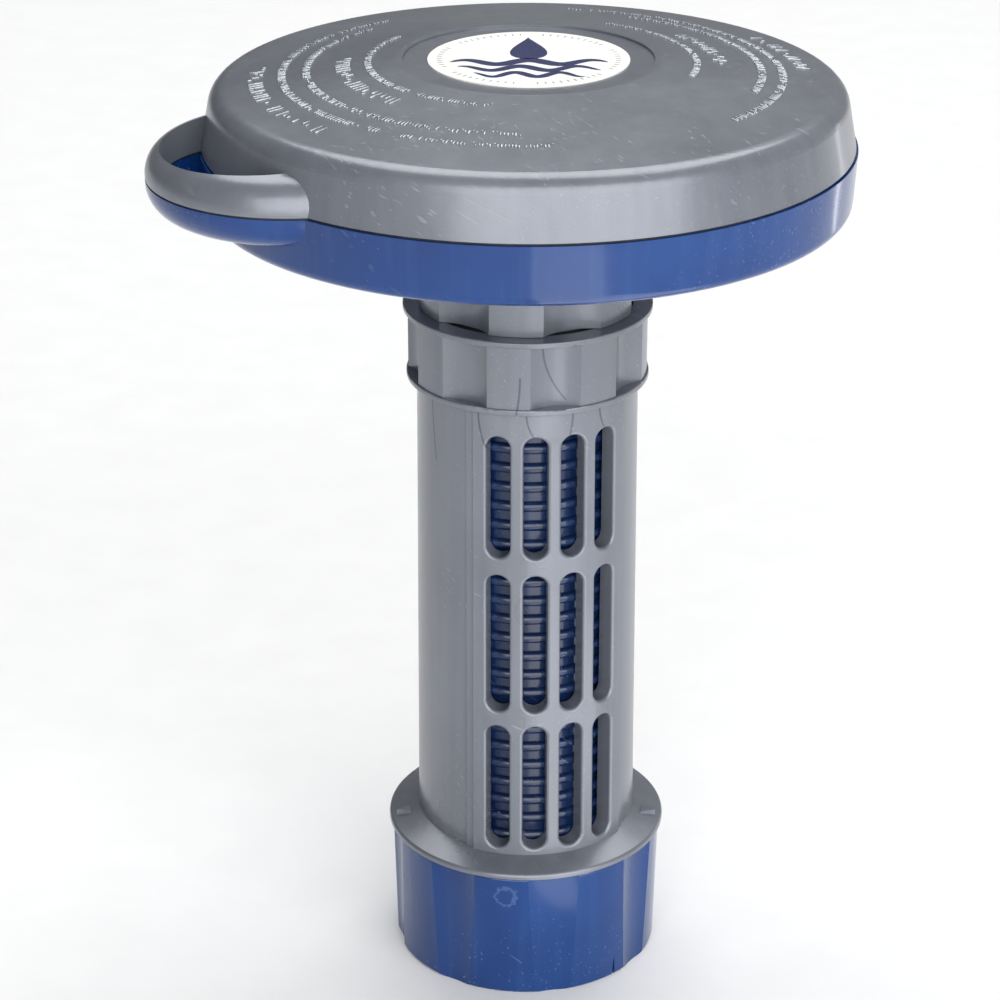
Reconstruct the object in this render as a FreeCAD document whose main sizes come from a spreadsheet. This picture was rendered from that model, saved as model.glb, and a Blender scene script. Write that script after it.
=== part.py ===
import FreeCAD, Part
import Sketcher
import math
import os

# Floating chlorine dispenser: a hollow disc float with a finger loop, and a slotted canister
# that screws into its neck. A sleeve turned by the bottom cap covers the slots with its
# ribbed faces or lines its own open slots up with them.
# Frame: millimetres, +Z up, origin on the canister's axis at the bottom of the cap's skirt.
# Angles about Z are counted from -Y towards +X, in degrees.

DRIVING_SIZES = {
    # float
    "float_radius": 63.5, "upper_radius": 63.1, "float_wall": 2.0,
    "seam_height": 177.0, "seam_half_gap": 0.2, "lower_depth": 12.0, "lower_draft": 0.7,
    "shoulder_radius": 61.0, "shoulder_rise": 11.3, "crown_radius": 25.4, "crown_rise": 16.1,
    "recess_radius": 24.2, "recess_depth": 0.45, "label_radius": 19.4, "label_thick": 0.25,
    "lower_corner": 2.2, "shoulder_corner": 4.0, "gasket_width": 2.4,
    # finger loop, moulded half on each shell
    "loop_angle": -64.0, "loop_centre": 48.9, "loop_radius": 27.8, "loop_edge": 5.35,
    "loop_crown": 16.9, "loop_rise": 8.2, "loop_round": 6.0, "finger_centre": 53.6,
    "finger_radius": 20.5,
    # neck hub and its fixing to the float
    "hub_base": 144.1, "hub_crest": 21.8, "hub_valley": 19.3, "hub_scoop": 11.8,
    "hub_flange_radius": 30.0, "hub_flange_thick": 3.0, "hub_top": 164.0, "hub_bore": 16.4,
    "hub_roof": 3.0, "spigot_radius": 18.7, "spigot_end": 131.0, "hub_screw_circle": 25.6,
    "hub_screw_head": 2.9, "hub_screw_reach": 11.0, "boss_radius": 3.4, "boss_height": 10.0,
    # collar, tube and flange of the canister
    "collar_top": 144.0, "collar_base": 128.7, "collar_lip": 1.2, "top_lip_radius": 24.8,
    "base_lip_radius": 24.2, "collar_crest": 23.8, "collar_valley": 21.8, "collar_scoop": 9.4,
    "tube_top_radius": 22.1, "tube_base_radius": 22.7, "tube_base": 31.3, "panel_rise": 0.95,
    "step_rise": 0.45, "step_half": 45.5,
    "tube_bore": 19.6, "thread_bore": 20.1, "ledge_bore": 18.3, "ledge_top": 126.0,
    "ledge_thick": 2.0, "flange_radius": 29.0, "flange_edge": 29.2, "flange_base": 28.2,
    "washer_bore": 20.9, "washer_seat": 141.7,
    # slots
    "panel_centre": 13.2, "panel_half": 41.0, "slot_pitch_angle": 18.8, "slot_width": 4.8,
    "low_slot_base": 32.3, "low_slot_top": 60.4, "mid_slot_base": 63.7, "mid_slot_top": 94.0,
    "high_slot_base": 97.8, "high_slot_top": 123.6, "slot_edge": 0.6,
    # screw thread between the spigot and the collar
    "thread_pitch": 4.0, "thread_turns": 2.0, "thread_depth": 1.0, "thread_foot": 2.0,
    "thread_tip": 1.0, "spigot_thread_start": 132.4,
    # flow sleeve
    "sleeve_radius": 19.3, "sleeve_bore": 17.0, "sleeve_base": 10.5, "sleeve_shoulder": 123.6,
    "sleeve_neck": 17.9, "sleeve_top": 129.2, "face_half": 46.0, "face_base": 31.0,
    "face_top": 122.4, "face_valley": 18.2, "bead_pitch": 4.13, "bead_radius": 1.1,
    "first_bead": 32.8, "slot_inset": 1.2,
    "guide_depth": 1.0, "guide_width": 1.8, "thick_neck": 3.0,
    "lock_groove_depth": 0.6, "lock_ring_thick": 2.0, "lock_ring_radius": 19.6,
    "pillar_circle": 14.5, "pillar_radius": 2.7, "pillar_top": 28.4,
    # tablet grate
    "grate_radius": 15.8, "grate_thick": 2.0, "grate_hole": 1.6,
    # flow cap
    "cap_top": 27.8, "cap_top_radius": 28.2, "cap_base_radius": 27.5, "cap_valley": 26.8,
    "cap_scoop": 17.0, "cap_bore": 25.6, "floor_base": 8.0, "drain_circle": 21.6,
    "drain_radius": 1.8, "inner_drain_circle": 8.0, "rib_base": 5.0, "rib_width": 1.6,
    "notch_height": 4.6, "notch_width": 0.9, "notch_angle": 42.0,
    # screws and small fits
    "pilot_radius": 1.25, "shank_radius": 1.2, "clearance_hole": 1.6, "cap_screw_head": 2.7,
    "cap_screw_reach": 12.0, "recess_arm": 1.3, "recess_half": 0.35, "recess_depth_screw": 1.0,
    "seal_inset": 0.3, "fit_gap": 0.05,
    # rounded edges of the mouldings, and the flow pointers on the flange
    "lip_edge": 0.3, "rim_edge": 0.7, "cap_edge": 0.6,
    "pointer_inner": 24.8, "pointer_outer": 27.8, "pointer_width": 3.0, "pointer_top": 31.0,
    # running gap between pieces that move past each other
    "free_gap": 0.3,
}

# Counts and angular positions (degrees from -Y towards +X)
HUB_LOBES, HUB_VALLEY_ANGLE = 6, 23.5
HUB_SCREWS, HUB_SCREW_ANGLE = 4, 45.0
COLLAR_FLUTES, COLLAR_VALLEY_ANGLE = 8, 13.0
PANELS, SLOT_COLUMNS = 2, 4
BEADS, GUIDE_RIBS = 22, 20
POINTER_ANGLES = (-80.0, 80.0)
LOCK_SPLIT_ANGLE = 120.0
CAP_FLUTES, CAP_VALLEY_ANGLE = 8, 11.5
CAP_SCREWS, CAP_SCREW_ANGLE = 3, 30.0
CAP_RIBS, CAP_RIB_ANGLE = 6, 0.0
CAP_NOTCHES = 3
GRATE_RINGS = [("5.5", 6), ("11.0", 12)]

doc = FreeCAD.newDocument("floating_dispenser")
sheet = doc.addObject("Spreadsheet::Sheet", "Sizes")
for row, (alias, value) in enumerate(DRIVING_SIZES.items(), start=1):
    sheet.set(f"A{row}", str(value))
    sheet.setAlias(f"A{row}", alias)
doc.recompute()


def size(alias):
    """A driving size, read back from the sheet."""
    return float(getattr(sheet, alias))


def formula(words):
    """A FreeCAD expression from words in which $alias stands for a driving size."""
    for alias in sorted(DRIVING_SIZES, key=len, reverse=True):
        words = words.replace(f"${alias}", f"Sizes.{alias}")
    return words


def amount(words):
    """What a formula comes to now."""
    return float(sheet.evalExpression(formula(words)))


def bind(target, prop, words):
    """Ties a property to the sheet through a formula."""
    target.setExpression(prop, formula(words))


def new_body(name, several_solids=False):
    """An empty PartDesign body, named after its node."""
    body = doc.addObject("PartDesign::Body", name)
    body.Label = name
    body.AllowCompound = several_solids
    return body


def new_sketch(body, name, plane="XZ_Plane", base=None, turn=0.0):
    """A sketch on one of the body's own origin planes. base binds its attachment offset,
    and turn swings it about the Z axis."""
    sketch = body.newObject("Sketcher::SketchObject", name)
    support = next(p for p in body.Origin.OriginFeatures if p.Role == plane)
    sketch.AttachmentSupport = [(support, "")]
    sketch.MapMode = "FlatFace"
    swing_axis = FreeCAD.Vector(0, 1, 0) if plane == "XZ_Plane" else FreeCAD.Vector(0, 0, 1)
    sketch.AttachmentOffset = FreeCAD.Placement(FreeCAD.Vector(), FreeCAD.Rotation(swing_axis, turn))
    for axis, words in (base or {}).items():
        bind(sketch, f".AttachmentOffset.Base.{axis}", words)
    return sketch


def hold(sketch, kind, words, *places):
    """A dimension of a sketch, bound to a formula."""
    index = sketch.addConstraint(Sketcher.Constraint(kind, *places, amount(words)))
    bind(sketch, f"Constraints[{index}]", words)


def hold_vertex(sketch, line, end, x_words, y_words):
    """Holds one point of a line or arc at a bound distance from the sketch's origin."""
    hold(sketch, "DistanceX", x_words, -1, 1, line, end)
    hold(sketch, "DistanceY", y_words, -1, 1, line, end)


def outline(sketch, corners):
    """A closed polygon. Each corner is a pair of formulas."""
    points = [FreeCAD.Vector(amount(x_words), amount(y_words), 0) for x_words, y_words in corners]
    for i in range(len(corners)):
        sketch.addGeometry(Part.LineSegment(points[i], points[(i + 1) % len(corners)]), False)
    for i, (x_words, y_words) in enumerate(corners):
        sketch.addConstraint(Sketcher.Constraint("Coincident", i, 2, (i + 1) % len(corners), 1))
        hold_vertex(sketch, i, 1, x_words, y_words)


def circle(sketch, x_words, y_words, radius_words):
    """A circle with bound centre and radius."""
    centre = FreeCAD.Vector(amount(x_words), amount(y_words), 0)
    ring = Part.Circle(centre, FreeCAD.Vector(0, 0, 1), amount(radius_words))
    line = sketch.addGeometry(ring, False)
    hold_vertex(sketch, line, 3, x_words, y_words)
    hold(sketch, "Radius", radius_words, line)


def feature(body, kind, name, sketch, **values):
    """A PartDesign feature on a sketch. Values that are text are formulas."""
    made = body.newObject(f"PartDesign::{kind}", name)
    made.Profile = sketch
    if kind in ("Revolution", "Groove"):
        made.ReferenceAxis = (sketch, ["V_Axis"])
        made.Angle = 360
    for prop, value in values.items():
        if isinstance(value, str):
            bind(made, prop, value)
        else:
            setattr(made, prop, value)
    sketch.Visibility = False
    doc.recompute()
    return made


def must_cut(body, before):
    """Stops the build if a cutting feature removed nothing."""
    if body.Shape.Volume > before - 1e-3:
        raise ValueError(f"{body.Label}: the last cut removed nothing")


def turned(body, name, corners, **values):
    """Adds a solid of revolution about Z (or about the sketch's own bound offset)."""
    sketch = new_sketch(body, f"{name}_sketch", **values)
    outline(sketch, corners)
    return feature(body, "Revolution", name, sketch)


def turned_cut(body, name, corners, **values):
    """Cuts a solid of revolution."""
    before = body.Shape.Volume
    sketch = new_sketch(body, f"{name}_sketch", **values)
    outline(sketch, corners)
    made = feature(body, "Groove", name, sketch)
    must_cut(body, before)
    return made


def polar(body, name, originals, count, sweep=360.0):
    """Repeats features about the Z axis. The count may be a number of copies round a sweep."""
    pattern = body.newObject("PartDesign::PolarPattern", name)
    pattern.Originals = originals
    pattern.Axis = (next(a for a in body.Origin.OriginFeatures if a.Role == "Z_Axis"), [""])
    pattern.Angle = sweep
    pattern.Occurrences = count
    body.Tip = pattern
    doc.recompute()
    return pattern


def multi(body, name, originals, steps):
    """Repeats features through several patterns, one after another."""
    made = body.newObject("PartDesign::MultiTransform", name)
    made.Originals = originals
    axis = (next(a for a in body.Origin.OriginFeatures if a.Role == "Z_Axis"), [""])
    transforms = []
    for index, (kind, count, reach) in enumerate(steps):
        step = body.newObject(f"PartDesign::{kind}Pattern", f"{name}_step{index}")
        step.Occurrences = count
        if kind == "Polar":
            step.Axis = axis
            step.Angle = reach
        else:
            step.Direction = axis
            step.Length = reach
        transforms.append(step)
    made.Transformations = transforms
    body.Tip = made
    doc.recompute()
    return made


def edge_names(shape, wanted):
    """Names of the edges whose middle point passes a test of its radius about Z and height."""
    names = []
    for index, edge in enumerate(shape.Edges, start=1):
        middle = edge.valueAt((edge.FirstParameter + edge.LastParameter) / 2)
        if wanted(edge, math.hypot(middle.x, middle.y), middle.z):
            names.append(f"Edge{index}")
    return names


def is_round(edge):
    """True for an arc or a circle that lies level."""
    return edge.BoundBox.ZLength < 0.001


def soften(body, name, kind, size_words, wanted):
    """Rounds or bevels the edges that pass the test."""
    names = edge_names(body.Shape, wanted)
    if not names:
        raise ValueError(f"{body.Label}: no edge found for {name}")
    before = body.Tip
    made = body.newObject(f"PartDesign::{kind}", name)
    made.Base = (before, names)
    bind(made, "Radius" if kind == "Fillet" else "Size", size_words)
    body.Tip = made
    doc.recompute()
    return made


def flutes(body, name, valley, scoop, low, high, count, centre):
    """Scoops along Z round a grip: circular cuts whose deepest points are at the valley radius."""
    before = body.Shape.Volume
    sketch = new_sketch(body, f"{name}_sketch", "XY_Plane", {"z": low}, centre)
    circle(sketch, "0", f"-({valley} + {scoop})", scoop)
    cut = feature(body, "Pocket", name, sketch, Reversed=True, Length=f"{high} - ({low})")
    must_cut(body, before)
    return polar(body, f"{name}_pattern", [cut], count)


def round_pad(body, name, centre, radius, low, high, angle=0.0):
    """A disc or post: a padded circle at a distance from the axis, at an angle round it."""
    sketch = new_sketch(body, f"{name}_sketch", "XY_Plane", {"z": low}, angle)
    circle(sketch, "0", f"-({centre})", radius)
    return feature(body, "Pad", name, sketch, Length=f"{high} - ({low})")


def round_cut(body, name, centre, radius, low, high, angle=0.0):
    """A round hole along Z, at a distance from the axis and an angle round it."""
    before = body.Shape.Volume
    sketch = new_sketch(body, f"{name}_sketch", "XY_Plane", {"z": low}, angle)
    circle(sketch, "0", f"-({centre})", radius)
    made = feature(body, "Pocket", name, sketch, Reversed=True, Length=f"{high} - ({low})")
    must_cut(body, before)
    return made


def loop_half(body, sign):
    """Half of the finger loop: a crowned puck beyond the rim with the finger hole through it.
    sign is +1 on the upper shell and -1 on the lower one."""
    side = "+" if sign > 0 else "-"
    seam, edge, crown = (f"$seam_height {side} {rise}"
                         for rise in ("$seam_half_gap", "$loop_edge", "$loop_rise"))
    offset = {"x": "$loop_centre * sin($loop_angle * 1deg)",
              "z": "$loop_centre * cos($loop_angle * 1deg)"}
    corners = [("0", seam), ("$loop_radius", seam), ("$loop_radius", edge),
               ("$loop_crown", crown), ("0", crown)]
    turned(body, "loop", corners, base=offset)
    edge_height = size("seam_height") + sign * size("loop_edge")
    soften(body, "loop_round", "Fillet", "$loop_round",
           lambda edge, radius, height: abs(height - edge_height) < 0.01)
    low, high = (seam, crown) if sign > 0 else (crown, seam)
    round_cut(body, "finger_hole", "$finger_centre", "$finger_radius", low, high,
              size("loop_angle"))


def make_float_upper_shell():
    """Grey top half of the float: drafted side, rounded shoulder, shallow cone, label recess."""
    body = new_body("float_upper_shell")
    loop_half(body, 1)
    rim = "$seam_height + $seam_half_gap"
    shoulder = "$seam_height + $shoulder_rise"
    crown = "$seam_height + $crown_rise"
    turned(body, "dome", [
        ("0", rim), ("$upper_radius", rim), ("$shoulder_radius", shoulder),
        ("$crown_radius", crown), ("$recess_radius", crown),
        ("$recess_radius", f"{crown} - $recess_depth"), ("0", f"{crown} - $recess_depth")])
    shoulder_height = size("seam_height") + size("shoulder_rise")
    soften(body, "shoulder_round", "Fillet", "$shoulder_corner",
           lambda edge, radius, height: abs(height - shoulder_height) < 0.01)
    turned_cut(body, "hollow", [
        ("0", rim), ("$upper_radius - $float_wall", rim),
        ("$shoulder_radius - $float_wall", f"{shoulder} - $float_wall"),
        ("$crown_radius", f"{crown} - $float_wall"),
        ("$recess_radius", f"{crown} - $recess_depth - $float_wall"),
        ("0", f"{crown} - $recess_depth - $float_wall")])
    return body


def make_float_lower_shell():
    """Blue bottom half of the float, with blind bosses inside for the hub's screws."""
    body = new_body("float_lower_shell")
    loop_half(body, -1)
    rim = "$seam_height - $seam_half_gap"
    floor = "$seam_height - $lower_depth"
    turned(body, "bowl", [
        ("0", rim), ("$float_radius", rim), ("$float_radius - $lower_draft", floor), ("0", floor)])
    floor_height = size("seam_height") - size("lower_depth")
    soften(body, "lower_round", "Fillet", "$lower_corner",
           lambda edge, radius, height: abs(height - floor_height) < 0.01)
    inside = f"{floor} + $float_wall"
    turned_cut(body, "hollow", [
        ("0", rim), ("$float_radius - $float_wall", rim),
        ("$float_radius - $lower_draft - $float_wall", inside), ("0", inside)])
    boss = round_pad(body, "boss", "$hub_screw_circle", "$boss_radius",
                     f"{inside} - 0.5", f"{inside} + $boss_height", HUB_SCREW_ANGLE)
    polar(body, "bosses", [boss], HUB_SCREWS)
    pilot = round_cut(body, "pilot", "$hub_screw_circle", "$pilot_radius", floor,
                      f"{floor} + $hub_screw_reach", HUB_SCREW_ANGLE)
    polar(body, "pilots", [pilot], HUB_SCREWS)
    return body


def make_rim_gasket():
    """Thin dark seal between the shells, round the disc and round the finger loop."""
    body = new_body("rim_gasket")
    low, high = "$seam_height - $seam_half_gap", "$seam_height + $seam_half_gap"
    angle = size("loop_angle")
    round_pad(body, "loop_seal", "$loop_centre", "$loop_radius - $seal_inset", low, high, angle)
    round_cut(body, "loop_opening", "$finger_centre", "$finger_radius + $seal_inset",
              low, high, angle)
    round_pad(body, "disc_seal", "0", "$upper_radius - $seal_inset", low, high)
    round_cut(body, "disc_opening", "0", "$upper_radius - $gasket_width", low, high)
    return body


def make_label_disc():
    """Printed disc lying in the recess at the centre of the top."""
    body = new_body("label_disc")
    floor = "$seam_height + $crown_rise - $recess_depth"
    round_pad(body, "disc", "0", "$label_radius", floor, f"{floor} + $label_thick")
    return body


def thread_ridge(body, root, crest, start):
    """One ridge of the neck's right-hand screw thread, wound along a helix about Z."""
    foot_end, foot_start = f"{start} - $thread_foot / 2", f"{start} + $thread_foot / 2"
    tip_end, tip_start = f"{start} - $thread_tip / 2", f"{start} + $thread_tip / 2"
    sketch = new_sketch(body, "thread_sketch")
    outline(sketch, [(root, foot_end), (crest, tip_end), (crest, tip_start), (root, foot_start)])
    before = body.Shape.Volume
    ridge = body.newObject("PartDesign::AdditiveHelix", "thread")
    ridge.Profile = sketch
    ridge.ReferenceAxis = (sketch, ["V_Axis"])
    ridge.Mode = "pitch-turns-angle"
    bind(ridge, "Pitch", "$thread_pitch")
    bind(ridge, "Turns", "$thread_turns")
    sketch.Visibility = False
    doc.recompute()
    if body.Shape.Volume < before + 1.0:
        raise ValueError(f"{body.Label}: the thread added nothing")
    return ridge


def make_neck_hub():
    """Grey six-lobed hub under the float: a flange above, a hollow threaded spigot below."""
    body = new_body("neck_hub")
    turned(body, "hub", [
        ("0", "$hub_top"), ("$hub_flange_radius", "$hub_top"),
        ("$hub_flange_radius", "$hub_top - $hub_flange_thick"),
        ("$hub_crest", "$hub_top - $hub_flange_thick"), ("$hub_crest", "$hub_base"),
        ("$spigot_radius", "$hub_base"), ("$spigot_radius", "$spigot_end"),
        ("$hub_bore", "$spigot_end"), ("$hub_bore", "$hub_top - $hub_roof"),
        ("0", "$hub_top - $hub_roof")])
    flutes(body, "lobe_valley", "$hub_valley", "$hub_scoop", "$hub_base",
           "$hub_top - $hub_flange_thick", HUB_LOBES, HUB_VALLEY_ANGLE)
    soften(body, "hub_rim", "Fillet", "$rim_edge",
           lambda edge, radius, height: abs(radius - size("hub_flange_radius")) < 0.01
           and abs(height - size("hub_top") + size("hub_flange_thick")) < 0.01)
    hole = round_cut(body, "screw_hole", "$hub_screw_circle", "$clearance_hole",
                     "$hub_top - $hub_flange_thick", "$hub_top", HUB_SCREW_ANGLE)
    polar(body, "screw_holes", [hole], HUB_SCREWS)
    thread_ridge(body, "$spigot_radius - 0.3", "$spigot_radius + $thread_depth",
                 "$spigot_thread_start")
    return body


def make_hub_gasket():
    """Flat seal between the hub's flange and the float's underside."""
    body = new_body("hub_gasket")
    top = "$seam_height - $lower_depth"
    round_pad(body, "sheet_seal", "0", "$hub_flange_radius - $seal_inset", "$hub_top", top)
    round_cut(body, "middle", "0", "$hub_bore", "$hub_top", top)
    hole = round_cut(body, "screw_hole", "$hub_screw_circle", "$clearance_hole", "$hub_top", top,
                     HUB_SCREW_ANGLE)
    polar(body, "screw_holes", [hole], HUB_SCREWS)
    return body


def cross_corners(arm, half_width):
    """The twelve corners of a plus sign, as formulas."""
    corners = []
    for across, along in (("+", "-"), ("+", "+"), ("-", "+"), ("-", "-")):
        inner = (f"{across}{half_width}", f"{along}{half_width}")
        if across == along:
            corners += [(f"{across}{arm}", inner[1]), inner, (inner[0], f"{along}{arm}")]
        else:
            corners += [(inner[0], f"{along}{arm}"), inner, (f"{across}{arm}", inner[1])]
    return corners


def make_screws(name, circle_words, head_words, head_low, seat, tip, count, angle):
    """Self-tapping pan-head screws standing upwards on a circle, heads below their seat."""
    body = new_body(name, several_solids=True)
    turn = math.radians(angle)
    offset = {"x": f"{circle_words} * {math.sin(turn):.6f}",
              "z": f"{circle_words} * {math.cos(turn):.6f}"}
    screw = turned(body, "screw", [
        ("0", head_low), (f"{head_words} * 0.75", head_low), (head_words, f"{head_low} + 0.6"),
        (head_words, seat), ("$shank_radius", seat), ("$shank_radius", f"{tip} - 1.2"),
        ("0", tip)], base=offset)
    before = body.Shape.Volume
    sketch = new_sketch(body, "recess_sketch", "XY_Plane", {
        "x": offset["x"], "y": f"-({offset['z']})", "z": head_low})
    outline(sketch, cross_corners("$recess_arm", "$recess_half"))
    recess = feature(body, "Pocket", "recess", sketch, Reversed=True, Length="$recess_depth_screw")
    must_cut(body, before)
    polar(body, "screws", [screw, recess], count)
    return body


def make_neck_washer():
    """Flat rubber washer round the spigot, sealing the hub to the collar."""
    body = new_body("neck_washer")
    top = "$hub_base - $free_gap"
    low = "$washer_seat + $free_gap"
    round_pad(body, "washer", "0", "$washer_bore - $free_gap", low, top)
    round_cut(body, "washer_hole", "0", "$spigot_radius + $free_gap", low, top)
    return body


def stadium(sketch, low, high, width):
    """An upright slot outline with round ends, centred on the sketch's vertical axis."""
    normal, axis = FreeCAD.Vector(0, 0, 1), -2
    half = amount(width) / 2
    top_words, bottom_words = f"{high} - {width} / 2", f"{low} + {width} / 2"
    up, down = amount(top_words), amount(bottom_words)

    def half_ring(centre_height, start):
        ring = Part.Circle(FreeCAD.Vector(0, centre_height, 0), normal, half)
        return sketch.addGeometry(Part.ArcOfCircle(ring, start, start + math.pi), False)

    def side(x, start_height, end_height):
        line = Part.LineSegment(FreeCAD.Vector(x, start_height, 0), FreeCAD.Vector(x, end_height, 0))
        return sketch.addGeometry(line, False)

    top, left = half_ring(up, 0), side(-half, up, down)
    bottom, right = half_ring(down, math.pi), side(half, down, up)
    for first, second in ((top, left), (left, bottom), (bottom, right), (right, top)):
        sketch.addConstraint(Sketcher.Constraint("Tangent", first, 2, second, 1))
    hold(sketch, "Radius", f"{width} / 2", top)
    for arc, words in ((top, top_words), (bottom, bottom_words)):
        sketch.addConstraint(Sketcher.Constraint("PointOnObject", arc, 3, axis))
        hold(sketch, "DistanceY", words, -1, 1, arc, 3)
    sketch.addConstraint(Sketcher.Constraint("Vertical", left))


def cut_slots(body, middle, inset):
    """Three rows of four upright slots through the wall round an angle, and again opposite.
    inset makes every slot narrower and its ends shorter than the canister's."""
    before = body.Shape.Volume
    first_column = middle - 1.5 * size("slot_pitch_angle")
    sketch = new_sketch(body, "slot_sketch", turn=first_column)
    for row in ("low", "mid", "high"):
        stadium(sketch, f"${row}_slot_base + {inset}", f"${row}_slot_top - {inset}",
                f"($slot_width - {inset})")
    slots = feature(body, "Pocket", "slot", sketch, Reversed=True, Length="$tube_base_radius * 1.2")
    must_cut(body, before)
    columns_sweep = (SLOT_COLUMNS - 1) * size("slot_pitch_angle")
    multi(body, "slots", [slots], [("Polar", SLOT_COLUMNS, columns_sweep), ("Polar", PANELS, 360)])


def round_slot_rims(body):
    """Softens the outer edges of the slots in the canister's raised panels."""
    outside = size("tube_top_radius") + size("panel_rise") - 0.2
    low, high = size("low_slot_base") - 0.1, size("high_slot_top") + 0.1
    half_slot = math.degrees(size("slot_width") / 2 / outside)

    def on_slot_rim(edge, radius, height):
        if radius < outside or not low < height < high:
            return False
        middle = edge.valueAt((edge.FirstParameter + edge.LastParameter) / 2)
        angle = math.degrees(math.atan2(middle.x, -middle.y)) - size("panel_centre")
        across = (angle + 90) % 180 - 90
        return abs(across) < 1.5 * size("slot_pitch_angle") + half_slot + 2

    soften(body, "slot_rims", "Fillet", "$slot_edge", on_slot_rim)


def make_canister_body():
    """Grey tablet canister: fluted collar, drafted tube, two slotted panels, bottom flange."""
    body = new_body("canister_body")
    turned(body, "tube", [
        ("$tube_bore", "$flange_base"), ("$flange_radius", "$flange_base"),
        ("$flange_radius", "$flange_edge"), ("$tube_base_radius", "$tube_base"),
        ("$tube_top_radius", "$collar_base"), ("$base_lip_radius", "$collar_base"),
        ("$base_lip_radius", "$collar_base + $collar_lip"),
        ("$collar_crest", "$collar_base + $collar_lip"),
        ("$collar_crest", "$collar_top - $collar_lip"),
        ("$top_lip_radius", "$collar_top - $collar_lip"), ("$top_lip_radius", "$collar_top"),
        ("$washer_bore", "$collar_top"), ("$washer_bore", "$washer_seat"),
        ("$thread_bore", "$washer_seat"), ("$thread_bore", "$ledge_top"),
        ("$ledge_bore", "$ledge_top"), ("$ledge_bore", "$ledge_top - $ledge_thick"),
        ("$tube_bore", "$ledge_top - $ledge_thick")])
    lips = {size("top_lip_radius"), size("base_lip_radius")}
    soften(body, "lip_edges", "Fillet", "$lip_edge",
           lambda edge, radius, height: is_round(edge)
           and any(abs(radius - lip) < 0.01 for lip in lips))
    soften(body, "rim_edge", "Fillet", "$rim_edge",
           lambda edge, radius, height: is_round(edge)
           and abs(radius - size("flange_radius")) < 0.01
           and abs(height - size("flange_edge")) < 0.01)
    flutes(body, "collar_valley", "$collar_valley", "$collar_scoop", "$collar_base + $collar_lip",
           "$collar_top - $collar_lip", COLLAR_FLUTES, COLLAR_VALLEY_ANGLE)
    for name, rise, half in (("step", "$step_rise", "$step_half"),
                             ("panel", "$panel_rise", "$panel_half")):
        sketch = new_sketch(body, f"{name}_sketch", turn=size("panel_centre") - 90)
        outline(sketch, [
            ("$tube_bore + 1", "$tube_base - 0.5"),
            (f"$tube_base_radius + {rise}", "$tube_base - 0.5"),
            (f"$tube_top_radius + {rise}", "$collar_base + 0.4"),
            ("$tube_bore + 1", "$collar_base + 0.4")])
        panel = feature(body, "Revolution", name, sketch, Angle=f"2 * {half}", Midplane=True)
        polar(body, f"{name}s", [panel], PANELS)
    cut_slots(body, size("panel_centre"), "0")
    round_slot_rims(body)
    for angle in POINTER_ANGLES:
        sketch = new_sketch(body, "pointer_sketch", "XY_Plane", {"z": "$flange_base + 1"}, angle)
        outline(sketch, [("-$pointer_width / 2", "-$pointer_inner"),
                         ("$pointer_width / 2", "-$pointer_inner"), ("0", "-$pointer_outer")])
        feature(body, "Pad", "pointer", sketch, Length="$pointer_top - $flange_base - 1")
    thread_ridge(body, "$thread_bore + 0.3", "$thread_bore - $thread_depth",
                 "$spigot_thread_start - $thread_pitch / 2")
    return body


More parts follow.
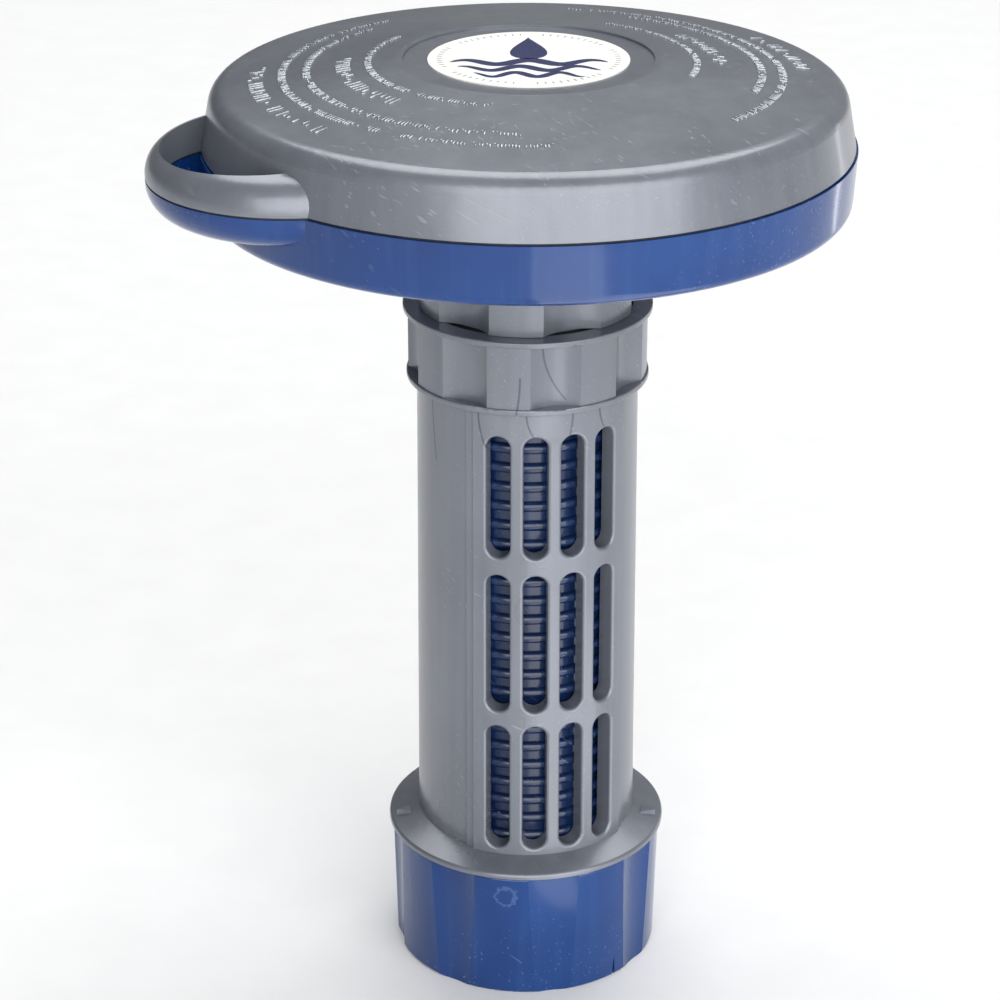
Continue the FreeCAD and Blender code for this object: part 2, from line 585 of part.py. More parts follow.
def make_flow_sleeve():
    """Blue inner sleeve: two ribbed faces that close the slots, open slots between them."""
    body = new_body("flow_sleeve")
    groove_low = "$ledge_top + $free_gap"
    groove_high = f"{groove_low} + $lock_ring_thick"
    turned(body, "wall", [
        ("$sleeve_bore", "$sleeve_base"), ("$sleeve_radius", "$sleeve_base"),
        ("$sleeve_radius", "$sleeve_shoulder"), ("$sleeve_neck", "$sleeve_shoulder"),
        ("$sleeve_neck", groove_low), ("$sleeve_neck - $lock_groove_depth", groove_low),
        ("$sleeve_neck - $lock_groove_depth", groove_high), ("$sleeve_neck", groove_high),
        ("$sleeve_neck", "$sleeve_top"), ("$sleeve_bore - $guide_depth", "$sleeve_top"),
        ("$sleeve_bore - $guide_depth", "$sleeve_shoulder - $thick_neck + 1"),
        ("$sleeve_bore", "$sleeve_shoulder - $thick_neck")])
    before = body.Shape.Volume
    facing = size("panel_centre") - 90
    sketch = new_sketch(body, "face_sketch", turn=facing)
    outline(sketch, [
        ("$face_valley", "$face_base"), ("$sleeve_radius + 0.2", "$face_base"),
        ("$sleeve_radius + 0.2", "$face_top"), ("$face_valley", "$face_top")])
    face = feature(body, "Groove", "face", sketch, Angle="2 * $face_half", Midplane=True)
    must_cut(body, before)
    polar(body, "faces", [face], PANELS)
    sketch = new_sketch(body, "bead_sketch", turn=facing)
    circle(sketch, "$sleeve_radius - $bead_radius", "$first_bead", "$bead_radius")
    bead = feature(body, "Revolution", "bead", sketch, Angle="2 * $face_half + 1", Midplane=True)
    reach = (BEADS - 1) * size("bead_pitch")
    multi(body, "beads", [bead], [("Linear", BEADS, reach), ("Polar", PANELS, 360)])
    sketch = new_sketch(body, "guide_sketch", "XY_Plane", {"z": "$pillar_top + $grate_thick"},
                        size("panel_centre"))
    outline(sketch, [
        ("-$guide_width / 2", "-($sleeve_bore + 0.4)"), ("$guide_width / 2", "-($sleeve_bore + 0.4)"),
        ("$guide_width / 2", "-($sleeve_bore - $guide_depth)"),
        ("-$guide_width / 2", "-($sleeve_bore - $guide_depth)")])
    guide = feature(body, "Pad", "guide", sketch,
                    Length="$sleeve_shoulder - $thick_neck + 1 - $pillar_top - $grate_thick")
    polar(body, "guides", [guide], GUIDE_RIBS)
    pillar = round_pad(body, "pillar", "$pillar_circle", "$pillar_radius", "$sleeve_base",
                       "$pillar_top", CAP_SCREW_ANGLE)
    polar(body, "pillars", [pillar], CAP_SCREWS)
    pilot = round_cut(body, "pilot", "$pillar_circle", "$pilot_radius", "$sleeve_base",
                      "$sleeve_base + $cap_screw_reach", CAP_SCREW_ANGLE)
    polar(body, "pilots", [pilot], CAP_SCREWS)
    cut_slots(body, size("panel_centre") + 90, "$slot_inset")
    return body


def make_sleeve_lock_ring():
    """Split snap ring in the sleeve's groove; it rests above the canister's inner ledge."""
    body = new_body("sleeve_lock_ring")
    low = "$ledge_top + $free_gap"
    high = f"{low} + $lock_ring_thick"
    round_pad(body, "ring", "0", "$lock_ring_radius", low, high)
    round_cut(body, "ring_hole", "0", "$sleeve_neck - $lock_groove_depth + $fit_gap", low, high)
    before = body.Shape.Volume
    sketch = new_sketch(body, "split_sketch", "XY_Plane", {"z": low}, LOCK_SPLIT_ANGLE)
    outline(sketch, [("-1.5", "-$lock_ring_radius - 1"), ("1.5", "-$lock_ring_radius - 1"),
                     ("1.5", "-10"), ("-1.5", "-10")])
    feature(body, "Pocket", "split", sketch, Reversed=True, Length="$lock_ring_thick")
    must_cut(body, before)
    return body


def make_tablet_grate():
    """Perforated disc on the sleeve's pillars that carries the tablets."""
    body = new_body("tablet_grate")
    top = "$pillar_top + $grate_thick"
    round_pad(body, "plate", "0", "$grate_radius", "$pillar_top", top)
    round_cut(body, "middle_hole", "0", "$grate_hole", "$pillar_top", top)
    for ring, (circle_words, count) in enumerate(GRATE_RINGS):
        hole = round_cut(body, f"hole{ring}", circle_words, "$grate_hole", "$pillar_top", top)
        polar(body, f"holes{ring}", [hole], count)
    return body


def make_flow_cap():
    """Blue bottom cap: fluted skirt, floor above its foot, ribs, drains and notched foot."""
    body = new_body("flow_cap")
    turned(body, "cup", [
        ("0", "$floor_base"), ("$cap_bore", "$floor_base"), ("$cap_bore", "0"),
        ("$cap_base_radius", "0"), ("$cap_top_radius", "$cap_top"), ("$cap_bore", "$cap_top"),
        ("$cap_bore", "$sleeve_base"), ("0", "$sleeve_base")])
    soften(body, "cap_edges", "Fillet", "$cap_edge",
           lambda edge, radius, height: is_round(edge) and radius > size("cap_valley") - 0.2
           and (height < 0.01 or height > size("cap_top") - 0.01))
    flutes(body, "cap_valley", "$cap_valley", "$cap_scoop", "0", "$cap_top", CAP_FLUTES,
           CAP_VALLEY_ANGLE)
    sketch = new_sketch(body, "rib_sketch", "XY_Plane", {"z": "$rib_base"}, CAP_RIB_ANGLE)
    outline(sketch, [
        ("-$rib_width / 2", "-($cap_bore + 0.5)"), ("$rib_width / 2", "-($cap_bore + 0.5)"),
        ("$rib_width / 2", "-$inner_drain_circle"), ("-$rib_width / 2", "-$inner_drain_circle")])
    rib = feature(body, "Pad", "rib", sketch, Length="$floor_base - $rib_base")
    polar(body, "ribs", [rib], CAP_RIBS)
    for name, circle_words, radius, count in (
            ("drain", "$drain_circle", "$drain_radius", 6),
            ("inner_drain", "$inner_drain_circle", "$grate_hole", 3),
            ("screw_hole", "$pillar_circle", "$clearance_hole", CAP_SCREWS)):
        angle = CAP_SCREW_ANGLE + (60 if name == "inner_drain" else 0)
        hole = round_cut(body, name, circle_words, radius, "$floor_base", "$sleeve_base", angle)
        polar(body, f"{name}s", [hole], count)
    before = body.Shape.Volume
    sketch = new_sketch(body, "notch_sketch", turn=size("notch_angle"))
    outline(sketch, [("-$notch_width / 2", "0"), ("$notch_width / 2", "0"), ("0", "$notch_height")])
    notch = feature(body, "Pocket", "notch", sketch, Reversed=True, Length="$cap_top_radius * 1.2")
    must_cut(body, before)
    polar(body, "notches", [notch], CAP_NOTCHES)
    return body


def make_parts():
    """Every piece of the dispenser, as bodies named after their nodes."""
    return [
        make_float_upper_shell(), make_float_lower_shell(), make_rim_gasket(), make_label_disc(),
        make_neck_hub(), make_hub_gasket(),
        make_screws("hub_screws", "$hub_screw_circle", "$hub_screw_head",
                    "$hub_top - $hub_flange_thick - 1.9", "$hub_top - $hub_flange_thick",
                    "$seam_height - $lower_depth + $hub_screw_reach - 0.5",
                    HUB_SCREWS, HUB_SCREW_ANGLE),
        make_neck_washer(), make_canister_body(), make_flow_sleeve(), make_sleeve_lock_ring(),
        make_tablet_grate(), make_flow_cap(),
        make_screws("cap_screws", "$pillar_circle", "$cap_screw_head",
                    "$floor_base - 1.8", "$floor_base",
                    "$sleeve_base + $cap_screw_reach - 0.5", CAP_SCREWS, CAP_SCREW_ANGLE),
    ]


def check_and_write(bodies):
    """Writes one STEP file per piece once the whole document is sound."""
    doc.recompute()
    for item in doc.Objects:
        if {"Invalid", "Error"} & set(item.State):
            raise ValueError(f"{item.Name} failed: {item.State}")
    for body in bodies:
        if body.Shape.isNull() or not body.Shape.isValid():
            raise ValueError(f"{body.Label}: the shape is null or not valid")
    os.makedirs("parts", exist_ok=True)
    for body in bodies:
        body.Shape.exportStep(f"parts/{body.Label}.step")
        shape = body.Shape
        print(f"{body.Label:20s} solids {len(shape.Solids):2d}  volume {shape.Volume:9.1f}")


check_and_write(make_parts())
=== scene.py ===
import bmesh
import bpy
import math
import random
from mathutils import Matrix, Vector
from mathutils.bvhtree import BVHTree


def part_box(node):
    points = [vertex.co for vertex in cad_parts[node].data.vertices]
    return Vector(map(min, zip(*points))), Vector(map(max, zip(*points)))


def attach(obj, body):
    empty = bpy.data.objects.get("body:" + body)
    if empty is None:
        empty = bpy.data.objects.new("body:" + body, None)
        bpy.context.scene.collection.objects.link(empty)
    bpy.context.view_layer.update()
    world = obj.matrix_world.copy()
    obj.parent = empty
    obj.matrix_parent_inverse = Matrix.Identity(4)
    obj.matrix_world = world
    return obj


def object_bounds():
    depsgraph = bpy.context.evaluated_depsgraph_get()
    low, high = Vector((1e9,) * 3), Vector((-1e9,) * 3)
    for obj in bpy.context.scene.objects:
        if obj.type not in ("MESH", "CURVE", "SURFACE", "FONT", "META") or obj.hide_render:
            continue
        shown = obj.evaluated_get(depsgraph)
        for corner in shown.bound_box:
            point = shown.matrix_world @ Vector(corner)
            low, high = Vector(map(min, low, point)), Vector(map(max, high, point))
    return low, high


# Looks of the floating dispenser: satin silver-grey and glossy navy mouldings, a printed label
# with a generic drop-and-waves print, and rows of small raised marks round the top.
# Metres, +Z up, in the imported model's frame. Angles about Z are counted from -Y towards +X.

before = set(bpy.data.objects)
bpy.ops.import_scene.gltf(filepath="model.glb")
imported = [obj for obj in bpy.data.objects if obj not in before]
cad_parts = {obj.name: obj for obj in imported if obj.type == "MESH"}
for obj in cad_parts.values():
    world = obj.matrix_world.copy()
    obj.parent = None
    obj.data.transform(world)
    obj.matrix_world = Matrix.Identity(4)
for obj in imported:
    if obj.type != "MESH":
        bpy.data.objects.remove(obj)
cad_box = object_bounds()

MM = 0.001

# Camera: its place, its tilt up from straight down in degrees, and its lens in millimetres
CAMERA_PLACE = (-5.5 * MM, -558.5 * MM, 348.1 * MM)
CAMERA_TILT = 66.09
CAMERA_LENS = 107.93

# Lights, each a rectangle: name, place, the place it faces, width, height, and power in watts
MIDDLE = (0.0, 0.0, 0.12)
LIGHTS = [
    ("key", (0.34, -1.35, 0.54), MIDDLE, 2.4, 1.6, 40),
    ("top_box", (0.1, 0.90, 2.0), MIDDLE, 2.2, 1.6, 44),
    ("front_card", (0.085, -0.24, 0.005), (0.085, -0.24, 1.0), 0.16, 0.38, 0.34),
    ("right_strip", (0.36, 0.30, 0.10), MIDDLE, 0.02, 0.20, 0.06),
]

# The room's light by direction, along X and along Y: the two values of the unit direction that
# it changes between, and its strength at each. BACKDROP is the strength that the camera sees.
ROOM_ALONG_X = (-0.8, 0.7, 0.04, 0.32)
ROOM_ALONG_Y = (-0.9, -0.1, 0.45, 0.0)
BACKDROP = 0.93

# The floor: how far it reaches from the axis each way, and the gap under the cap's foot
FLOOR_REACH = 4.0
FLOOR_GAP = 0.05 * MM

# Raised rows on the top, in millimetres and degrees: radius, first and last angle, height of a
# mark, and about how many marks lie between gaps, or 0 for no gaps
RAISED_ROWS = [
    (30.8, -124.0, -47.0, 1.5, 6), (30.8, -42.0, -13.0, 1.5, 9),
    (35.6, -95.0, -44.0, 3.0, 0), (42.6, -133.0, -2.0, 1.7, 8),
    (47.3, -143.0, -35.0, 1.7, 9), (47.5, -29.0, 5.0, 1.5, 7),
    (52.3, -95.0, -44.0, 3.0, 5),
    (32.2, 72.0, 151.0, 1.5, 7), (36.9, 91.0, 126.0, 3.0, 0),
    (44.6, 70.0, 152.0, 1.7, 9), (48.6, 50.0, 170.0, 1.7, 8),
    (53.3, 96.0, 122.0, 3.0, 5),
]

# Raised marks: width, height above the shell, depth sunk in it, shortest length, and the
# distance from mark to mark as a share of their height in the row
MARK_WIDTH = 0.38 * MM
MARK_RISE = 0.27 * MM
MARK_SUNK = 0.10 * MM
MARK_SHORTEST = MARK_WIDTH * 1.05
MARK_PITCH = 0.42

# The label's print, in shares of the label's radius: reach and thickness of each wave; the top
# wave's middle line, the waves' spacing and their swing; the drop's middle and half sizes; and
# the distances from the label's centre where a tick starts and ends
WAVES = [(0.78, 0.15), (0.70, 0.12), (0.54, 0.10)]
WAVE_TOP, WAVE_SPACING, WAVE_SWING = -0.14, 0.22, 0.075
DROP_MIDDLE, DROP_HALF_WIDTH, DROP_HALF_HEIGHT = 0.38, 0.27, 0.40
TICK_START, TICK_END = 0.86, 0.91

# The print's depth sunk in the label, its height above it, a wave's width at its tips, and a
# tick's width
PRINT_SUNK = 0.02 * MM
PRINT_RISE = 0.04 * MM
WAVE_TIP = 0.04 * MM
TICK_WIDTH = 0.22 * MM

# Flow marks near the collar: angle in degrees, drift sideways over the mark's height in
# radians, and its low and high end in millimetres
WELD_LINES = [
    (7.0, 0.21, 131.0, 142.5), (-4.0, -0.03, 129.0, 136.5), (-25.0, 0.08, 120.5, 128.7),
    (-1.0, 0.07, 123.5, 128.7), (22.0, -0.04, 122.5, 128.7), (37.0, 0.05, 124.0, 128.7),
    (-58.0, 0.06, 115.0, 128.7), (120.0, 0.10, 118.0, 128.7), (196.0, -0.08, 122.0, 128.7),
]

# A flow mark's half width in radians: where it starts to fade, and where it is gone
WELD_SOLID, WELD_GONE = 0.004, 0.012

# The scuffed ring on the cap: distance from the axis, angle and height of its middle, and size
BLEMISH_PLACE = (27.9 * MM, -9.0, 23.5 * MM)
BLEMISH_RADIUS = 2.1 * MM
BLEMISH_WIDTH = 0.6 * MM
BLEMISH_WAVER = 2.2 * MM

# The range of values that soft noise mostly fills, and noise cells per thickness of a scratch
NOISE_LOW, NOISE_HIGH = 0.3, 0.7
SCRATCH_CELLS = 0.35


def linear(red, green, blue):
    """A linear colour from display values of 0 to 255."""
    def one(value):
        value /= 255
        return value / 12.92 if value <= 0.04045 else ((value + 0.055) / 1.055) ** 2.4
    return (one(red), one(green), one(blue), 1.0)


def polar_point(radius, angle, height=0.0):
    """A point at a radius and an angle about Z."""
    turn = math.radians(angle)
    return Vector((radius * math.sin(turn), -radius * math.cos(turn), height))


# ---------------------------------------------------------------- materials

class Graph:
    """A material's node tree with short calls for adding and linking nodes."""

    def __init__(self, name):
        self.material = bpy.data.materials.new(name)
        self.material.use_nodes = True
        self.tree = self.material.node_tree
        self.shader = self.tree.nodes["Principled BSDF"]
        self.place = self.add("ShaderNodeTexCoord").outputs["Object"]

    def add(self, kind, inputs=None, **settings):
        """A node with its settings, and inputs given by name or number: values or sockets."""
        node = self.tree.nodes.new(kind)
        for name, value in settings.items():
            setattr(node, name, value)
        for name, value in (inputs or {}).items():
            if isinstance(value, bpy.types.NodeSocket):
                self.tree.links.new(value, node.inputs[name])
            else:
                node.inputs[name].default_value = value
        return node

    def math(self, operation, first, second=0.0):
        """A number worked out from one or two others."""
        return self.add("ShaderNodeMath", {0: first, 1: second}, operation=operation).outputs[0]

    def noise(self, scale, detail=3.0, stretch=(1, 1, 1), warp=0.0, shift=(0, 0, 0)):
        """Soft noise in metres: scale is features per metre before the stretch."""
        moved = self.add("ShaderNodeMapping", {"Vector": self.place, "Scale": stretch,
                                               "Location": shift})
        return self.add("ShaderNodeTexNoise", {
            "Vector": moved.outputs[0], "Scale": scale, "Detail": detail,
            "Distortion": warp}).outputs["Fac"]

    def span(self, value, low, high, to_low=0.0, to_high=1.0):
        """A number moved from one range into another, and held inside it."""
        return self.add("ShaderNodeMapRange", {
            "Value": value, "From Min": low, "From Max": high,
            "To Min": to_low, "To Max": to_high}).outputs["Result"]

    def vary(self, noise, low, high):
        """A number that goes from low to high with soft noise."""
        return self.span(noise, NOISE_LOW, NOISE_HIGH, low, high)

    def blend(self, share, first, second):
        """Two colours blended by a share."""
        node = self.add("ShaderNodeMix", {0: share, 6: first, 7: second}, data_type="RGBA")
        return node.outputs[2]

    def mottle(self, noise, first, second):
        """Two colours that take turns with soft noise."""
        return self.blend(self.vary(noise, 0.0, 1.0), first, second)

    def bump(self, height, depth, under=None):
        """Relief whose height runs from 0 to 1 over a depth in metres."""
        inputs = {"Height": height, "Distance": depth, "Strength": 1.0}
        if under is not None:
            inputs["Normal"] = under
        return self.add("ShaderNodeBump", inputs).outputs[0]

    def scratches(self, thickness, length, turn, share):
        """Sparse straight scratches in patches, 1 on a scratch and 0 off it. Sizes are in
        metres, and share is how much of the noise's range becomes scratches."""
        turned = self.add("ShaderNodeMapping", {"Vector": self.place, "Rotation": turn})
        drawn = self.add("ShaderNodeMapping", {
            "Vector": turned.outputs[0], "Scale": (1.0, 1.0, thickness / length)})
        cells = SCRATCH_CELLS / thickness
        streak = self.add("ShaderNodeTexNoise", {
            "Vector": drawn.outputs[0], "Scale": cells, "Detail": 0.0}).outputs["Fac"]
        patch = self.span(self.noise(34, 1.0, shift=turn), 0.5, 0.6)
        return self.math("MULTIPLY", self.span(streak, 1.0 - share, 1.04 - share), patch)

    def weld_line(self, angle, drift, low, high):
        """A thin curved flow mark running down the wall, 1 on the mark and 0 off it."""
        split = self.add("ShaderNodeSeparateXYZ", {0: self.place})
        height = split.outputs["Z"]
        around = self.math("ARCTAN2", split.outputs["X"],
                           self.math("MULTIPLY", split.outputs["Y"], -1.0))
        drop = self.span(height, low, high, 1.0, 0.0)
        sideways = self.math("MULTIPLY", self.math("POWER", drop, 2.0), drift)
        middle = self.math("ADD", math.radians(angle), sideways)
        away = self.math("ABSOLUTE", self.math("SUBTRACT", around, middle))
        line = self.span(away, WELD_SOLID, WELD_GONE, 1.0, 0.0)
        between = self.math("MULTIPLY", self.math("GREATER_THAN", height, low),
                            self.math("LESS_THAN", height, high))
        return self.math("MULTIPLY", line, between)

    def ring(self, centre, radius, width, wobble):
        """A wavering ring round a place, 1 on the ring and 0 off it. Sizes are in metres."""
        waver = self.math("MULTIPLY", self.math("SUBTRACT", self.noise(900, 2.0), 0.5), wobble)
        reach = self.add("ShaderNodeVectorMath", {0: self.place, 1: centre}, operation="DISTANCE")
        away = self.math("ADD", reach.outputs["Value"], waver)
        off = self.math("ABSOLUTE", self.math("SUBTRACT", away, radius))
        return self.span(off, 0.0, width, 1.0, 0.0)

    def finish(self, **inputs):
        """Sets the shader's inputs: names with spaces are written with underscores."""
        for name, value in inputs.items():
            socket = self.shader.inputs[name.replace("_", " ")]
            if isinstance(value, bpy.types.NodeSocket):
                self.tree.links.new(value, socket)
            else:
                socket.default_value = value
        return self.material


def silver_plastic(name, weld_lines=()):
    """Silver-grey pigmented moulding: fine metallic fleck, drawn streaks, light scratches, and
    dark flow marks where weld_lines gives them."""
    g = Graph(name)
    cloud = g.noise(30, 4.0, warp=0.4)
    fleck = g.noise(7500, 1.0)
    streak = g.noise(260, 3.0, stretch=(1.0, 1.0, 0.05))
    body = g.mottle(cloud, linear(103, 107, 115), linear(115, 119, 127))
    body = g.blend(g.span(streak, 0.35, 0.75, 0.0, 0.35), body, linear(88, 91, 102))
    body = g.blend(g.span(fleck, 0.55, 0.75, 0.0, 0.10), body, linear(170, 173, 179))
    for angle, drift, low, high in weld_lines:
        mark = g.weld_line(angle, drift, low * MM, high * MM)
        body = g.blend(g.math("MULTIPLY", mark, 0.75), body, linear(62, 64, 74))
    scuff = g.math("MAXIMUM", g.scratches(0.22 * MM, 20 * MM, (0.4, 1.1, 0.3), 0.25),
                   g.scratches(0.18 * MM, 12 * MM, (1.2, 0.5, 2.0), 0.25))
    body = g.blend(g.math("MULTIPLY", scuff, 0.20), body, linear(166, 169, 175))
    rough = g.math("ADD", g.vary(cloud, 0.26, 0.34), g.math("MULTIPLY", scuff, 0.15))
    relief = g.bump(g.noise(650, 2.0), 0.010 * MM)
    relief = g.bump(streak, 0.020 * MM, relief)
    relief = g.bump(scuff, -0.010 * MM, relief)
    return g.finish(Base_Color=body, Roughness=rough, Normal=relief, Metallic=0.30,
                    Coat_Weight=0.20, Coat_Roughness=0.12)


def marks_painted_highlight():
    """The crests of the raised marks: the same moulding, painted lighter as a highlight for their
    glints.
    """
    g = Graph("marks_painted_highlight")
    highlight_mottle = g.noise(900, 3.0)
    # Both tones are lighter than the moulding: a painted highlight on the marks.
    body = g.blend(g.span(highlight_mottle, 0.35, 0.65), linear(136, 141, 149), linear(178, 182, 188))
    return g.finish(Base_Color=body, Metallic=0.4, Roughness=g.vary(highlight_mottle, 0.14, 0.26),
                    Normal=g.bump(highlight_mottle, 0.010 * MM))


def navy_plastic(name, tones, blemish=None):
    """Glossy navy moulding with slight clouding between two tones, drawn streaks, dust and fine
    scratches. blemish is the middle of a small scuffed ring."""
    g = Graph(name)
    cloud = g.noise(36, 4.0, warp=0.5)
    body = g.mottle(cloud, *tones)
    streak = g.noise(420, 3.0, stretch=(1, 1, 0.05))
    body = g.blend(g.span(streak, 0.5, 0.8, 0.0, 0.4), body, linear(36, 72, 122))
    dust = g.span(g.noise(2600, 2.0), 0.66, 0.80, 0.0, 0.10)
    body = g.blend(dust, body, linear(80, 104, 146))
    scuff = g.math("MAXIMUM", g.scratches(0.20 * MM, 16 * MM, (0.2, 0.9, 0.7), 0.24),
                   g.scratches(0.20 * MM, 22 * MM, (1.3, 0.2, 1.1), 0.24))
    if blemish is not None:
        ring = g.ring(blemish, BLEMISH_RADIUS, BLEMISH_WIDTH, BLEMISH_WAVER)
        scuff = g.math("MAXIMUM", scuff, ring)
    body = g.blend(g.math("MULTIPLY", scuff, 0.25), body, linear(104, 126, 164))
    rough = g.math("ADD", g.vary(cloud, 0.12, 0.22), g.math("MULTIPLY", scuff, 0.2))
    relief = g.bump(g.noise(500, 2.0), 0.012 * MM)
    relief = g.bump(scuff, -0.020 * MM, relief)
    return g.finish(Base_Color=body, Roughness=rough, Normal=relief, Specular_IOR_Level=0.42,
                    Coat_Weight=0.15, Coat_Roughness=0.06)


def label_film():
    """White printed film, a little yellowed, with a fibrous backing showing through."""
    g = Graph("label_film")
    cloud = g.noise(120, 4.0, warp=0.5)
    body = g.mottle(cloud, linear(238, 238, 232), linear(247, 247, 243))
    fibre = g.span(g.noise(2600, 2.0, stretch=(1, 0.3, 1)), 0.62, 0.8, 0.0, 0.25)
    body = g.blend(fibre, body, linear(224, 222, 212))
    rough = g.vary(cloud, 0.30, 0.42)
    relief = g.bump(g.noise(1800, 2.0), 0.006 * MM)
    return g.finish(Base_Color=body, Roughness=rough, Normal=relief)


def print_ink(name, dark, light):
    """Printed ink with slight mottling."""
    g = Graph(name)
    mottle = g.noise(1400, 3.0)
    body = g.blend(g.span(mottle, 0.35, 0.65), dark, light)
    return g.finish(Base_Color=body, Roughness=g.vary(mottle, 0.32, 0.45),
                    Normal=g.bump(mottle, 0.004 * MM))


def seal_rubber():
    """Black rubber with a powdery bloom."""
    g = Graph("seal_rubber")
    bloom = g.noise(300, 4.0)
    body = g.blend(g.span(bloom, 0.45, 0.75), linear(22, 22, 24), linear(46, 46, 48))
    return g.finish(Base_Color=body, Roughness=g.vary(bloom, 0.55, 0.75),
                    Normal=g.bump(g.noise(2500, 2.0), 0.015 * MM))


def white_acetal():
    """Waxy white acetal with faint turning marks."""
    g = Graph("white_acetal")
    cloud = g.noise(160, 3.0)
    body = g.mottle(cloud, linear(222, 221, 214), linear(236, 235, 230))
    rings = g.noise(900, 1.0, stretch=(0.1, 0.1, 3.0))
    return g.finish(Base_Color=body, Roughness=g.vary(cloud, 0.35, 0.5),
                    Normal=g.bump(rings, 0.01 * MM))


def screw_steel():
    """Stainless screw steel with fine turning marks and a few dull spots."""
    g = Graph("screw_steel")
    spot = g.noise(700, 3.0)
    body = g.blend(g.span(spot, 0.4, 0.7), linear(176, 176, 174), linear(205, 205, 203))
    turning = g.noise(5000, 1.0, stretch=(1, 1, 0.1))
    return g.finish(Base_Color=body, Metallic=1.0, Roughness=g.vary(spot, 0.22, 0.38),
                    Normal=g.bump(turning, 0.006 * MM))


def floor_white():
    """Matt white studio floor with a trace of grain."""
    g = Graph("floor_white")
    grain = g.noise(60, 3.0)
    body = g.mottle(grain, linear(228, 228, 228), linear(231, 231, 231))
    return g.finish(Base_Color=body, Roughness=0.9)


silver = silver_plastic("silver_grey_moulding")
silver_canister = silver_plastic("silver_grey_canister", WELD_LINES)
navy_tones = (linear(9, 44, 98), linear(13, 55, 113))
navy = navy_plastic("navy_moulding", navy_tones)
navy_cap = navy_plastic("navy_cap", navy_tones, polar_point(*BLEMISH_PLACE))
# The sleeve and grate are the same navy moulding, given darker tones as painted shade for their
# recessed place inside the canister.
navy_inner_painted_shade = navy_plastic("navy_inner_painted_shade", (linear(13, 29, 60), linear(18, 38, 76)))
rubber = seal_rubber()
steel = screw_steel()
ink_navy = print_ink("ink_navy", linear(20, 28, 74), linear(28, 38, 92))
ink_grey = print_ink("ink_grey", linear(118, 120, 118), linear(140, 142, 138))

NODE_LOOKS = {
    "float_upper_shell": silver, "neck_hub": silver, "canister_body": silver_canister,
    "float_lower_shell": navy, "flow_cap": navy_cap,
    "flow_sleeve": navy_inner_painted_shade, "tablet_grate": navy_inner_painted_shade,
    "rim_gasket": rubber, "hub_gasket": rubber, "neck_washer": rubber,
    "hub_screws": steel, "cap_screws": steel,
    "label_disc": label_film(), "sleeve_lock_ring": white_acetal(),
}

for node_name, look in NODE_LOOKS.items():
    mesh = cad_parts[node_name].data
    mesh.materials.clear()
    mesh.materials.append(look)


# ---------------------------------------------------------------- added pieces

def surface_of(node_name):
    """A tree of a CAD node's faces, for finding the surface under a point."""
    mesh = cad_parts[node_name].data
    return BVHTree.FromPolygons([v.co for v in mesh.vertices], [p.vertices for p in mesh.polygons])


def drop_to(surface, place):
    """The point and normal where a line straight down from above meets a surface."""
    above = Vector((place.x, place.y, cad_box[1][2] + 10 * MM))
    point, normal, _, _ = surface.ray_cast(above, Vector((0, 0, -1)))
    return point, normal


def piece(name, work, look, body_name):
    """Makes a mesh object from a bmesh and ties it to a body."""
    bmesh.ops.recalc_face_normals(work, faces=work.faces)
    mesh = bpy.data.meshes.new(name)
    work.to_mesh(mesh)
    work.free()
    mesh.materials.append(look)
    made = bpy.data.objects.new(name, mesh)
    bpy.context.scene.collection.objects.link(made)
    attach(made, body_name)
    return made


def stadium_points(length, width, corner_steps=4):
    """The outline of a bar with round ends, along Y, as flat points."""
    half, radius = length / 2 - width / 2, width / 2
    points = []
    for end, start in ((half, 0.0), (-half, math.pi)):
        for step in range(corner_steps + 1):
            turn = start + math.pi * step / corner_steps
            points.append((radius * math.cos(turn), end + radius * math.sin(turn)))
    return points


def add_raised_bar(work, base, normal, along, length):
    """One raised bar with rounded shoulders standing on a sloping surface."""
    up = normal.normalized()
    along = (along - up * along.dot(up)).normalized()
    across = along.cross(up)
    # How much narrower each ring is, as a share of the width, and its height
    profile = ((0.0, -MARK_SUNK), (0.0, MARK_RISE * 0.45),
               (0.16, MARK_RISE * 0.85), (0.4, MARK_RISE))
    rings = []
    for inset, height in profile:
        outline = stadium_points(length - MARK_WIDTH * inset, MARK_WIDTH * (1 - inset))
        rings.append([work.verts.new(base + across * x + along * y + up * height)
                      for x, y in outline])
    count = len(rings[0])
    for lower, upper in zip(rings, rings[1:]):
        for i in range(count):
            j = (i + 1) % count
            work.faces.new((lower[i], lower[j], upper[j], upper[i]))
    work.faces.new(rings[-1])
    work.faces.new(list(reversed(rings[0])))


def raised_marks():
    """Rows of small raised bars and dots round the top: a plain pattern with no lettering."""
    random.seed(7)
    top = surface_of("float_upper_shell")
    work = bmesh.new()
    for radius, first, last, tall, word in RAISED_ROWS:
        radius *= MM
        tall *= MM
        step = math.degrees(tall * MARK_PITCH / radius)
        angle, index = first, 0
        while angle < last:
            index += 1
            gap = word and index % (word + random.randint(-2, 2)) == 0
            if not gap:
                share = random.choice((1.0, 1.0, 0.55, 0.3))
                shift = random.choice((-1, 0, 1)) * (1 - share) / 2 * tall
                base, normal = drop_to(top, polar_point(radius + shift, angle))
                length = max(tall * share, MARK_SHORTEST)
                add_raised_bar(work, base, normal, polar_point(1.0, angle), length)
            angle += step * random.uniform(0.85, 1.2)
    # The marks get a lighter material: a painted highlight for their glints.
    marks = piece("raised_marks", work, marks_painted_highlight(), "float").data
    marks.polygons.foreach_set("use_smooth", [True] * len(marks.polygons))


